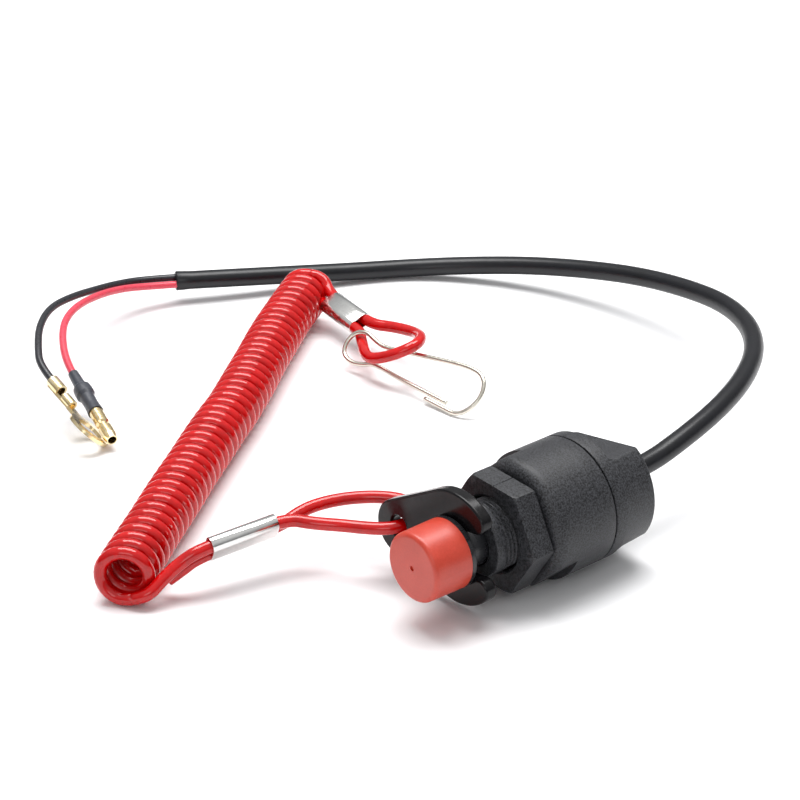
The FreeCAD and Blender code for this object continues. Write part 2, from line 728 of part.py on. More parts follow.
# Lanyard: cord round the clip and through the near sleeve, twice, with its tail and the strand to the coil
near_axis = Vector(2.8, 14.8, 1.4)
near_axis.normalize()
near_start = Vector(-38.6, -48.2, -4.6)
near_level = Vector(near_axis.y, -near_axis.x, 0)
near_level.normalize()
near_lean = math.radians(120)
near_side = near_level * math.cos(near_lean) + near_axis.cross(near_level) * math.sin(near_lean)
strand_offset = cord_radius.value + sleeve_gap.value / 2
near_stop = near_start + near_axis * near_sleeve_length.value
near_tail = near_start + near_side * strand_offset
near_tail_stop = near_stop + near_side * strand_offset
near_lead = near_start - near_side * strand_offset
near_lead_stop = near_stop - near_side * strand_offset
switch_loop_route = [
    (-40.9, -55.8, -8.6),
    tuple(near_tail - near_axis * 2.2),
    tuple(near_tail_stop + near_axis * 1.5),
    (-36.0, -25.3, -2.2),
    (-33.7, -18.7, -1.5),
    (-29.6, -12.6, -1.2),
    (-24.6, -8.5, -1.2),
    (-19.7, -8.1, -1.4),
    (-16.9, -11.2, -1.7),
    (-17.3, -16.6, -2.2),
    (-21.4, -19.9, -2.7),
    (-26.6, -22.9, -3.1),
    (-31.5, -27.0, -3.2),
    tuple(near_lead_stop + near_axis * 2.2),
    tuple(near_lead - near_axis * 2.0),
    (-40.6, -54.0, -6.6),
    (-41.9, -58.9, -9.9),
]
cord("switch_loop", switch_loop_route, cord_radius.value)

# The coiled part of the lanyard, as the closed outer shape of its turns
coil_height = floor.value + coil_radius.value
coil_route = [
    (-46.7, -65.6, coil_height),
    (-84.2, -13.2, coil_height),
    (-91.3, -1.8, coil_height),
    (-133.6, 51.8, coil_height),
]
cord("lanyard_coil", coil_route, coil_radius.value)

# Snap hook: one bent wire in a leaning plane, its eye round the cord of the far loop
eye_centre = Vector(-97.5, 40.8, floor.value + 5.6)
hook_along = Vector(0.992, 0.124, -0.023)
hook_across = Vector(-0.067, 0.675, 0.735)
hook_normal = hook_along.cross(hook_across)
hook_normal.normalize()
hook_across = hook_normal.cross(hook_along)
hook_outline = [
    (30.3, -3.9),
    (16.0, -3.2),
    (6.4, -2.1),
    (3.4, -3.5),
    (0.0, -4.1),
    (-3.2, -3.0),
    (-4.1, 0.0),
    (-3.1, 3.1),
    (0.0, 4.2),
    (3.3, 3.1),
    (6.8, 2.3),
    (17.0, 4.0),
    (33.0, 6.3),
    (37.2, 4.2),
    (38.2, -0.6),
    (35.0, -5.6),
    (29.5, -5.35),
    (24.0, -5.0),
]
hook_route = [tuple(eye_centre + hook_along * u + hook_across * v) for u, v in hook_outline]
cord("snap_hook", hook_route, hook_wire.value)

# The cord of the far loop: from the coil through the far sleeve, through the hook's eye and back
far_axis = Vector(13.6, -2.0, -0.4)
far_axis.normalize()
far_start = Vector(-119.5, 50.2, -7.0)
far_level = Vector(-far_axis.y, far_axis.x, 0)
far_level.normalize()
far_upward = far_axis.cross(far_level)
far_lean = math.radians(22)
far_side = far_level * math.cos(far_lean) + far_upward * math.sin(far_lean)
far_stop = far_start + far_axis * far_sleeve_length.value
through_eye = Vector(-0.712, 0.702, 0.038)
through_eye.normalize()
hook_loop_route = [
    (-126.4, 54.0, -3.4),
    tuple(far_start + far_side * strand_offset - far_axis * 2.6),
    tuple(far_stop + far_side * strand_offset + far_axis * 2.2),
    (-97.8, 52.0, -6.5),
    (-90.6, 52.2, -5.3),
    (-84.6, 49.5, -3.6),
    (-81.0, 44.7, -2.9),
    (-83.6, 40.8, -4.9),
    (-87.6, 39.0, -7.0),
    (-91.8, 38.2, -8.2),
    tuple(eye_centre + through_eye * 5.4),
    tuple(far_stop - far_side * strand_offset + far_axis * 2.2),
    tuple(far_start - far_side * strand_offset - far_axis * 2.0),
]
cord("hook_loop", hook_loop_route, cord_radius.value)


def crimp_sleeve(label, start, axis, side, length):
    """A flattened tube round two strands that lie side by side."""
    across = axis.cross(side)
    across.normalize()

    def oval(radius):
        """A stadium section that holds both strands."""
        left = start - side * strand_offset
        right = start + side * strand_offset
        edges = [
            Part.LineSegment(left + across * radius, right + across * radius).toShape(),
            Part.Arc(right + across * radius, right + side * radius, right - across * radius).toShape(),
            Part.LineSegment(right - across * radius, left - across * radius).toShape(),
            Part.Arc(left - across * radius, left - side * radius, left + across * radius).toShape(),
        ]
        return Part.Face(Part.Wire(edges)).extrude(axis * length)

    inside = cord_radius.value + sleeve_gap.value
    shape = oval(inside + sleeve_wall.value).cut(oval(inside))
    feature = doc.addObject("Part::Feature", label + "_tube")
    feature.Shape = shape
    return keep(feature, label)


crimp_sleeve("near_sleeve", near_start, near_axis, near_side, near_sleeve_length.value)
crimp_sleeve("far_sleeve", far_start, far_axis, far_side, far_sleeve_length.value)


along_x = Vector(1, 0, 0)


def facing(axis, flat):
    """The rotation that lays local +X along an axis and local +Z near a flat's normal."""
    along = Vector(axis)
    along.normalize()
    across = flat.cross(along)
    across.normalize()
    return Rotation(along, across, along.cross(across), "XYZ")


def revolved(profile):
    """A round solid about +X from the radius and the place along X of each corner."""
    points = [Vector(place, radius, 0) for radius, place in profile]
    return Part.Face(Part.makePolygon(points + [points[0]])).revolve(Vector(), along_x, 360)


def placed(label, shape, base, rotation):
    """A finished piece from a shape made along its own +X."""
    feature = doc.addObject("Part::Feature", label + "_shape")
    feature.Shape = shape
    feature.Placement = Placement(base, rotation)
    return keep(feature, label)


# Bullet terminal on the red wire, in its insulating boot
bullet_axis = Vector(23.8, -6.4, -5.2)
bullet_axis.normalize()
wire_end = Vector(*red_route[-1])
bullet_turn = facing(bullet_axis, Vector(0, 0, 1))
bump_start = boot_length.value * 0.39
bump_stop = boot_length.value * 0.62
socket_start = boot_length.value - bullet_seat.value
boot_profile = [
    (wire_radius.value + seat_gap.value, 0),
    (boot_neck.value, 0),
    (boot_neck.value + 0.2, bump_start - 1),
    (boot_bump.value - 0.1, bump_start),
    (boot_bump.value, bump_start + 1),
    (boot_bump.value, bump_stop - 0.9),
    (boot_radius.value + 0.1, bump_stop),
    (boot_radius.value, bump_stop + 3),
    (boot_radius.value + 0.2, boot_length.value),
    (bullet_shank.value + seat_gap.value, boot_length.value),
    (bullet_shank.value + seat_gap.value, socket_start),
    (wire_radius.value + seat_gap.value, socket_start),
]
placed("bullet_boot", revolved(boot_profile), wire_end - bullet_axis * 0.5, bullet_turn)
bullet_bare = bullet_seat.value
bullet_tip = bullet_bare + bullet_length.value
bullet_profile = [
    (0, 0),
    (bullet_shank.value, 0),
    (bullet_shank.value, bullet_bare),
    (bullet_radius.value, bullet_bare),
    (bullet_radius.value, bullet_bare + 4.4),
    (bullet_radius.value - 0.45, bullet_bare + 4.9),
    (bullet_radius.value - 0.45, bullet_bare + 5.7),
    (bullet_radius.value, bullet_bare + 6.2),
    (bullet_radius.value, bullet_tip - 1.6),
    (bullet_bore.value + 0.3, bullet_tip),
    (bullet_bore.value, bullet_tip),
    (bullet_bore.value, bullet_bare + 3.0),
    (0, bullet_bare + 3.0),
]
bullet_base = wire_end - bullet_axis * 0.5 + bullet_axis * socket_start
placed("bullet_terminal", revolved(bullet_profile), bullet_base, bullet_turn)

# Ring terminal on the black wire
lug_axis = Vector(0.9605, -0.0558, -0.2728)
lug_axis.normalize()
lug_flat = Vector(0.306, 0.638, 0.707)
lug_turn = facing(lug_axis, lug_flat)
lug_base = Vector(-123.2, -29.1, -4.3)
lug_inner = wire_radius.value + seat_gap.value
sheet_level = -lug_grip.value
sheet_top = sheet_level + lug_sheet.value
grip = Part.makeCylinder(lug_grip.value, lug_grip_length.value, Vector(), along_x)
barrel_axis = Vector(lug_barrel_start.value, 0, sheet_level + lug_barrel.value)
barrel = Part.makeCylinder(lug_barrel.value, lug_barrel_length.value, barrel_axis, along_x)
strip_width = lug_barrel.value * 1.5
tongue_width = lug_barrel.value * 2.2
strip = Part.makeBox(lug_reach.value - 1, strip_width, lug_sheet.value,
                     Vector(0.5, -strip_width / 2, sheet_level))
tongue_start = lug_barrel_start.value + lug_barrel_length.value
tongue = Part.makeBox(lug_reach.value - tongue_start, tongue_width, lug_sheet.value,
                      Vector(tongue_start, -tongue_width / 2, sheet_level))
ring = Part.makeCylinder(lug_ring.value, lug_sheet.value, Vector(lug_reach.value, 0, sheet_level))
lug = grip.fuse([barrel, strip, tongue, ring])
lug = lug.cut(Part.makeCylinder(lug_inner, lug_grip_length.value + 2, Vector(-1, 0, 0), along_x))
lug = lug.cut(Part.makeCylinder(lug_hole.value, 4, Vector(lug_reach.value, 0, sheet_level - 1)))
strands = Part.makeCylinder(lug_barrel.value - 0.5, lug_barrel_length.value + 1, barrel_axis - along_x * 0.5, along_x)
lug = lug.cut(strands)
placed("ring_terminal", lug.removeSplitter(), lug_base, lug_turn)

doc.recompute()
problems = []
for item in doc.Objects:
    if "Invalid" in item.State or "Error" in item.State:
        problems.append("%s: %s" % (item.Name, item.State))
labels = [piece.Label for piece in pieces]
if len(set(labels)) != len(labels):
    problems.append("two pieces share a label")
for piece in pieces:
    shape = piece.Shape
    if shape.isNull() or not shape.isValid() or shape.Volume <= 0:
        problems.append("%s has no valid solid" % piece.Label)
    elif len(shape.Solids) != 1:
        problems.append("%s has %d solids" % (piece.Label, len(shape.Solids)))
if problems:
    raise RuntimeError("; ".join(problems))

os.makedirs("parts", exist_ok=True)
for piece in pieces:
    piece.Shape.exportStep(os.path.join("parts", piece.Label + ".step"))
print("%d pieces written" % len(pieces))
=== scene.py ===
"""Looks of an engine kill switch with a coiled lanyard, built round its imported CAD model.

Sizes in the classes are millimetres in the part's frame: the switch axis is +Y, the red button
faces -Y, and +Z is up. Blender objects are metres, so points are scaled once, when a mesh is made.
"""

import logging
import math
from collections.abc import Callable, Iterable, Sequence
from dataclasses import dataclass, field
from enum import Enum

import bpy
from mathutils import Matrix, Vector


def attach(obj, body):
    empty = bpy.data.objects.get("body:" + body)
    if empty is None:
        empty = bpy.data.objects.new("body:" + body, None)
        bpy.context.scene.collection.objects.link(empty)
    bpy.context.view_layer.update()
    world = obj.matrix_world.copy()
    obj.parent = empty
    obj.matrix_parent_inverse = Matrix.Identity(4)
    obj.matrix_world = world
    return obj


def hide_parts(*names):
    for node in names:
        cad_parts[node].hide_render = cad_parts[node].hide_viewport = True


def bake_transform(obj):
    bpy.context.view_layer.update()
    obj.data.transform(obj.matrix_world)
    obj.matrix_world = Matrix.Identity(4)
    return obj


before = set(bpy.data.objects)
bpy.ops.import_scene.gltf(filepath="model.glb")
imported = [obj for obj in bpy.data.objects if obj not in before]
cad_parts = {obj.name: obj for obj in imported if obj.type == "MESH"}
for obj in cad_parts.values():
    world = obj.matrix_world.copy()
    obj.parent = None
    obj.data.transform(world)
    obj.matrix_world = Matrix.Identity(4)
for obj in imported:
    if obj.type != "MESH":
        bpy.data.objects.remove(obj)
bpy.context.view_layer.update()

log = logging.getLogger("kill_switch")

MM = 0.001
# Ranges of the noise over which the colour and the gloss run from end to end
COLOUR_RANGE = (0.36, 0.64)
GLOSS_RANGE = (0.3, 0.7)
# How far red, green and blue light travel inside a plastic, as shares of the longest way
SCATTER_SHARES = (1.0, 0.25, 0.2)
# A flat wall counts in the directions that meet it within 1 / WALL_SHARE radii
WALL_SHARE = 0.2
# Distance between two rings that make one crisp step
HAIR = 0.001

Point = tuple[float, float, float]
Outline = Sequence[tuple[float, float]]


class Body(Enum):
    """The moving bodies of the part."""

    SWITCH = "switch"
    BUTTON = "button"
    NUT = "nut"
    CLIP = "clip"
    HOOK = "hook"


def linear(code: str) -> tuple[float, ...]:
    """Turn an sRGB hex value into a linear colour.

    Args:
        code: Six hex digits after a hash sign.

    Returns:
        Red, green, blue and full opacity.
    """
    shares = [int(code[start:start + 2], 16) / 255 for start in (1, 3, 5)]
    red, green, blue = (
        share / 12.92 if share <= 0.04045 else ((share + 0.055) / 1.055) ** 2.4 for share in shares
    )
    return red, green, blue, 1.0


def add_node(tree: bpy.types.NodeTree, kind: str, inputs: dict[str | int, object] | None = None,
             **settings: object) -> bpy.types.Node:
    """Add a shader node with its settings and its links.

    Args:
        tree: The node tree that gets the node.
        kind: The node's type name.
        inputs: A value, or the output socket that feeds it, for each named input.
        settings: The node's own properties.

    Returns:
        The new node.
    """
    node = tree.nodes.new(kind)
    for name, value in settings.items():
        setattr(node, name, value)
    for name, value in (inputs or {}).items():
        if isinstance(value, bpy.types.NodeSocket):
            tree.links.new(value, node.inputs[name])
        else:
            node.inputs[name].default_value = value
    return node


@dataclass(frozen=True)
class Finish:
    """A material: what it is made of and how its surface was made.

    The base colour runs between colour and shade, by a broad mottle and a fine grain; the grain also
    moves the gloss by roughness_spread and stands up by relief_mm.
    """

    name: str
    slot: str
    colour: str
    shade: str
    roughness: float
    roughness_spread: float = 0.05
    ior: float = 1.5
    metallic: float = 0.0
    mottle_mm: float = 5.0
    grain_mm: float = 0.4
    grain_share: float = 0.5
    relief_mm: float = 0.01
    coat: float = 0.0
    coat_roughness: float = 0.1
    depth: float = 0.0
    depth_mm: float = 1.0
    specular: float = 0.5

    def build(self) -> bpy.types.Material:
        """Make the material's nodes.

        Returns:
            The finished material.
        """
        material = bpy.data.materials.new(self.name)
        material.use_nodes = True
        tree = material.node_tree
        shader = tree.nodes["Principled BSDF"]
        place = add_node(tree, "ShaderNodeTexCoord").outputs["Object"]
        mottle, grain = (
            add_node(tree, "ShaderNodeTexNoise", {
                "Vector": place, "Scale": 1 / (size * MM), "Detail": 2.0, "Roughness": raggedness})
            for size, raggedness in ((self.mottle_mm, 0.5), (self.grain_mm, 0.6))
        )
        blend = add_node(tree, "ShaderNodeMix", {
            "Factor": self.grain_share, "A": mottle.outputs["Fac"], "B": grain.outputs["Fac"]})
        ramp = add_node(tree, "ShaderNodeValToRGB", {"Fac": blend.outputs["Result"]})
        low, high = ramp.color_ramp.elements
        low.position, high.position = COLOUR_RANGE
        low.color, high.color = linear(self.shade), linear(self.colour)
        gloss = add_node(tree, "ShaderNodeMapRange", {
            "Value": grain.outputs["Fac"], "From Min": GLOSS_RANGE[0], "From Max": GLOSS_RANGE[1],
            "To Min": self.roughness - self.roughness_spread,
            "To Max": self.roughness + self.roughness_spread})
        relief = add_node(tree, "ShaderNodeBump", {
            "Height": grain.outputs["Fac"], "Distance": self.relief_mm * MM, "Strength": 1.0})
        tree.links.new(ramp.outputs["Color"], shader.inputs["Base Color"])
        tree.links.new(gloss.outputs["Result"], shader.inputs["Roughness"])
        tree.links.new(relief.outputs["Normal"], shader.inputs["Normal"])
        for socket, value in {
            "Metallic": self.metallic, "IOR": self.ior, "Specular IOR Level": self.specular,
            "Coat Weight": self.coat, "Coat Roughness": self.coat_roughness, "Subsurface Weight": self.depth,
            "Subsurface Radius": SCATTER_SHARES, "Subsurface Scale": self.depth_mm * MM,
        }.items():
            shader.inputs[socket].default_value = value
        return material


# Glass-filled nylon from a spark-eroded mould: a dull black with a fine salt-like sparkle. The sparkle is
# painted: the light specks in its base colour are painted glints off the grit, whose own relief is the
# bump. The real grit is about 0.1 mm and is drawn three to four times as coarse, so that it shows
MOULDED_NYLON = Finish("moulded_nylon", "black_nylon", "#414246", "#050506", 0.48, 0.16, 1.53,
                       grain_mm=0.34, grain_share=1.0, relief_mm=0.07, specular=0.34)
# Acetal turned smooth by its mould: black with a soft sheen, so that it slides
MOULDED_ACETAL = Finish("moulded_acetal", "black_acetal", "#232427", "#1B1B1E", 0.3, 0.05, 1.48,
                        grain_mm=0.8, relief_mm=0.006)
# ABS with a satin mould finish: an even warm red, slightly clear at its edges
SATIN_ABS = Finish("satin_abs", "red_cap_plastic", "#C94431", "#BD3B29", 0.36, 0.05, 1.54,
                   grain_mm=0.5, relief_mm=0.008, depth=0.12, depth_mm=1.2)
# Polypropylene from a polished mould: the blackest piece, with sharp white lights on its rim
POLISHED_PP = Finish("polished_polypropylene", "black_clip_plastic", "#121113", "#0C0B0D", 0.2, 0.05,
                     grain_mm=1.6, relief_mm=0.012, specular=0.24)
# Extruded polyurethane cord: a deep glossy red that glows where light passes through it
GLOSSY_URETHANE = Finish("extruded_polyurethane", "red_cord", "#CA0507", "#B40204", 0.11, 0.03,
                         grain_mm=1.2, relief_mm=0.006, coat=0.25, coat_roughness=0.03, depth=0.1,
                         depth_mm=0.8, specular=0.4)
# Extruded PVC jacket: blue-black, with one broad dull light along it
PVC_JACKET = Finish("extruded_pvc_jacket", "black_pvc", "#101117", "#0B0C10", 0.33, 0.04, 1.53,
                    grain_mm=0.7, relief_mm=0.006, specular=0.36)
# PVC insulation of the wires: smoother than the jacket
BLACK_INSULATION = Finish("black_pvc_insulation", "black_wire_pvc", "#26272D", "#1E1F24", 0.3, 0.04, 1.53,
                          grain_mm=0.6, relief_mm=0.004)
# The same in red, which lets a little light through
RED_INSULATION = Finish("red_pvc_insulation", "red_wire_pvc", "#DE4A5C", "#D24052", 0.3, 0.04, 1.53,
                        grain_mm=0.6, relief_mm=0.004, depth=0.15)
# Soft vinyl boot: slate grey, dull, with a rubbery bloom
SOFT_VINYL = Finish("soft_vinyl", "boot_vinyl", "#3E414A", "#32353D", 0.4, 0.06,
                    grain_mm=0.6, relief_mm=0.012)
# Rolled aluminium sheet, pressed: bright, with fine lines from the roll
ROLLED_ALUMINIUM = Finish("rolled_aluminium", "crimp_aluminium", "#E6E6E4", "#D2D2D0", 0.15, 0.04,
                          metallic=1.0, grain_mm=0.25, relief_mm=0.006)
# Drawn spring wire with a nickel coat: a warm silver
NICKEL_WIRE = Finish("nickel_plated_wire", "nickel_wire", "#DCD7CB", "#C8C3B7", 0.22, 0.05,
                     metallic=1.0, grain_mm=0.5, relief_mm=0.004)
# Stamped brass with a gilt flash: yellow, bright on its edges
GILT_BRASS = Finish("gilt_brass", "terminal_brass", "#F8E9C2", "#E6CB94", 0.22, 0.06,
                    metallic=1.0, grain_mm=0.5, relief_mm=0.01)
# Moulded rubber, unseen inside: an even dull black
SEAL_RUBBER = Finish("nitrile_rubber", "seal_rubber", "#1C1C1D", "#151516", 0.6)
# Hard-drawn wire, unseen inside: a plain grey metal
SPRING_STEEL = Finish("drawn_spring_steel", "spring_steel", "#A9AAAC", "#8F9092", 0.3, metallic=1.0)
# Turned and riveted brass, unseen inside: a plain yellow metal
CONTACT_BRASS = Finish("turned_brass", "contact_brass", "#D8B46A", "#C19A50", 0.28, metallic=1.0)
# Uncoloured moulded nylon, unseen inside: milky, slightly clear
CARRIER_PLASTIC = Finish("natural_nylon", "carrier_plastic", "#DAD6C8", "#CECABB", 0.45, depth=0.1)
# Zinc-plated steel, unseen inside: a greyer, duller metal
CRIMP_STEEL = Finish("plated_steel", "crimp_steel", "#B4B5B7", "#9FA0A2", 0.34, metallic=1.0)


class Paints:
    """Builds each finish once and hands it out."""

    def __init__(self) -> None:
        """Start with no material made."""
        self.made: dict[str, bpy.types.Material] = {}

    def of(self, finish: Finish) -> bpy.types.Material:
        """The material of a finish, made at its first use.

        Args:
            finish: The finish.

        Returns:
            Its material.
        """
        if finish.name not in self.made:
            self.made[finish.name] = finish.build()
        return self.made[finish.name]

    def dress(self, node: str, finish: Finish) -> None:
        """Give a CAD node its finish.

        Args:
            node: The node's name.
            finish: The surface it gets.
        """
        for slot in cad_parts[node].material_slots:
            slot.material = self.of(finish)
        log.info("dressed %s in %s", node, finish.name)


paints = Paints()


@dataclass
class Draft:
    """Points and faces of one piece while it is made, in millimetres."""

    points: list[Vector] = field(default_factory=list)
    faces: list[tuple[int, ...]] = field(default_factory=list)

    def ring(self, points: Iterable[Vector]) -> list[int]:
        """Add a row of points.

        Args:
            points: The row, in order.

        Returns:
            The new points' numbers.
        """
        start = len(self.points)
        self.points.extend(points)
        return list(range(start, len(self.points)))

    def skin(self, rows: list[list[int]], looped: bool = False) -> None:
        """Join closed rows of the same length, each to the next, with four-sided faces.

        Args:
            rows: The rows, in order.
            looped: Whether the last row joins the first.
        """
        for first, second in zip(rows, rows[1:] + rows[:1] if looped else rows[1:]):
            for here in range(len(first)):
                there = (here + 1) % len(first)
                self.faces.append((first[here], first[there], second[there], second[here]))

    def fan(self, row: list[int], centre: Vector, turned_over: bool = False) -> None:
        """Close a row with triangles to a centre point.

        Args:
            row: The row to close.
            centre: The point that the triangles meet in.
            turned_over: Whether the faces look the other way.
        """
        middle = self.ring([centre])[0]
        for here, there in zip(row, row[1:] + row[:1]):
            self.faces.append((middle, there, here) if turned_over else (middle, here, there))

    def piece(self, name: str, finish: Finish, body: Body | None, *nodes: str,
              sharp: float) -> bpy.types.Object:
        """Make the piece, a smooth mesh in metres, and let it ride on its body.

        Args:
            name: The piece's name.
            finish: Its surface.
            body: The body it moves with, or None if it bends between two.
            nodes: The CAD nodes that it stands for.
            sharp: Edges that turn by more than this many degrees stay crisp.

        Returns:
            The new object.
        """
        mesh = bpy.data.meshes.new(name)
        mesh.from_pydata([point * MM for point in self.points], [], self.faces)
        mesh.update()
        mesh.shade_smooth()
        mesh.set_sharp_from_angle(angle=math.radians(sharp))
        mesh.materials.append(paints.of(finish))
        made = bpy.data.objects.new(name, mesh)
        bpy.context.scene.collection.objects.link(made)
        if nodes:
            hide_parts(*nodes)
        if body is not None:
            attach(made, body.value)
        log.info("made %s with %d faces", name, len(self.faces))
        return made


def soft_least(radius: float, walls: Iterable[tuple[float, float]], angle: float, power: float) -> float:
    """The radius of a round body with flat walls, its edges slightly rounded.

    Args:
        radius: The round body's radius.
        walls: The distance from the axis and the facing angle in degrees of each flat wall.
        angle: The direction in degrees in which the radius is wanted.
        power: How crisp the edges are.

    Returns:
        The radius in that direction.
    """
    total = radius ** -power
    for distance, facing in walls:
        share = math.cos(math.radians(angle - facing)) / distance
        if share > WALL_SHARE / radius:
            total += share ** power
    return total ** (-1 / power)


def two_flats(height: float, facing: float) -> list[tuple[float, float]]:
    """Two flat walls on opposite sides of the axis, as soft_least needs them."""
    return [(height, facing), (height, facing + 180)]


def turned(rows: Iterable[tuple[float, float]], angles: Sequence[float],
           shape: Callable[[float, float, float], float]) -> Draft:
    """A closed skin of rings about the switch axis.

    Args:
        rows: The radius and the place along +Y of each ring.
        angles: The directions of a ring's points, in degrees.
        shape: Gives the final radius from the radius, the place and the direction.

    Returns:
        The draft, in millimetres.
    """
    draft = Draft()
    rings = []
    for radius, place in rows:
        points = []
        for angle in angles:
            reach = shape(radius, place, angle)
            turn = math.radians(angle)
            points.append(Vector((reach * math.cos(turn), place, reach * math.sin(turn))))
        rings.append(draft.ring(points))
    draft.skin(rings, looped=True)
    return draft


def even(start: float, stop: float, count: int) -> list[float]:
    """Evenly spaced values with both ends."""
    return [start + (stop - start) * step / count for step in range(count + 1)]


def rounded(radius: float, place: float, size: float, start: float, stop: float,
            steps: int) -> list[tuple[float, float]]:
    """Rows of a rounded edge.

    Args:
        radius: The radius at which the rounding's centre lies.
        place: The place at which the rounding's centre lies.
        size: The rounding's radius.
        start: The first direction in degrees, where 0 faces outwards and 90 to the rear.
        stop: The last direction.
        steps: The number of steps between them.

    Returns:
        The rows, first to last.
    """
    turns = [math.radians(angle) for angle in even(start, stop, steps)]
    return [(radius + size * math.cos(turn), place + size * math.sin(turn)) for turn in turns]


@dataclass
class Housing:
    """The barrel and its threaded neck, moulded in one piece."""

    barrel_radius: float = 13.94
    barrel_length: float = 16.2
    shoulder: float = 2.6
    flat_height: float = 12.67
    flat_length: float = 6.1
    flat_facing: float = -46.7
    neck_radius: float = 8.0
    neck_front: float = -11.1
    neck_flat: float = 7.53
    thread_pitch: float = 1.0
    thread_depth: float = 0.6
    thread_front: float = -9.0
    thread_rear: float = -0.45
    thread_run_out: float = 0.7
    thread_rows: int = 76
    crest_share: float = 0.14
    flank_share: float = 0.7
    neck_crispness: float = 150
    flat_crispness: float = 200
    guide_radius: float = 4.88
    chamber_radius: float = 6.2
    chamber_front: float = -8.1
    bore_radius: float = 11.2
    carrier_front: float = 7.9
    bevel: float = 0.3
    seam: float = 0.18
    seam_depth: float = 1.0
    edge: float = 0.4
    flat_ring: float = 4.0
    barrel_rings: Sequence[float] = (9.0, 12.5)
    sides: int = 288

    def thread(self, place: float, angle: float) -> float:
        """How deep the thread is cut at a place.

        Args:
            place: The place along the axis.
            angle: The direction in degrees.

        Returns:
            The depth below the crests, in millimetres.
        """
        ramp = min(min(place - self.thread_front, self.thread_rear - place) / self.thread_run_out, 1.0)
        if ramp <= 0:
            return 0.0
        turn = (place / self.thread_pitch + angle / 360) % 1.0
        wave = 1 - abs(2 * turn - 1)
        flank = min(max((wave - self.crest_share) / self.flank_share, 0.0), 1.0)
        return self.thread_depth * ramp * flank

    def shape(self, radius: float, place: float, angle: float) -> float:
        """The housing's radius with its flats and thread.

        Args:
            radius: The radius before they are cut.
            place: The place along the axis.
            angle: The direction in degrees.

        Returns:
            The final radius, in millimetres.
        """
        if radius <= self.chamber_radius or place >= self.flat_length:
            return radius
        if place >= 0:
            walls = two_flats(self.flat_height, self.flat_facing)
            return soft_least(radius, walls, angle, self.flat_crispness)
        if radius == self.neck_radius:
            radius -= self.thread(place, angle)
        return soft_least(radius, two_flats(self.neck_flat, self.flat_facing), angle, self.neck_crispness)

    def rows(self) -> list[tuple[float, float]]:
        """The half section as a closed loop of rows, from the guide bore round the outside.

        Returns:
            The radius and the place of each ring.
        """
        neck = self.neck_radius
        rows = [(self.guide_radius, self.neck_front + self.bevel),
                (self.guide_radius + self.bevel, self.neck_front)]
        rows += rounded(neck - self.edge, self.neck_front + self.edge, self.edge, -90, 0, 4)
        rows += [(neck, place) for place in even(self.thread_front, self.thread_rear, self.thread_rows)]
        rows += [(neck, -HAIR), (neck + HAIR, 0.0)]
        rows += rounded(self.barrel_radius - self.shoulder, self.shoulder, self.shoulder, -90, 0, 10)
        places = (self.flat_ring, self.flat_length - HAIR, self.flat_length, *self.barrel_rings)
        rows += [(self.barrel_radius, place) for place in places]
        rows += rounded(self.barrel_radius - self.seam, self.barrel_length - 2 * self.seam, self.seam,
                        0, 90, 3)
        floor = self.barrel_radius - self.seam_depth
        rows += [(floor, self.barrel_length - self.seam), (floor, self.barrel_length)]
        rows += [(self.bore_radius, self.barrel_length), (self.bore_radius, self.carrier_front),
                 (self.chamber_radius, self.carrier_front), (self.chamber_radius, self.chamber_front),
                 (self.guide_radius, self.chamber_front)]
        return rows

    def build(self) -> None:
        """Make the housing."""
        draft = turned(self.rows(), even(0, 360, self.sides)[:-1], self.shape)
        draft.piece("switch_housing", MOULDED_NYLON, Body.SWITCH, "housing", sharp=32)


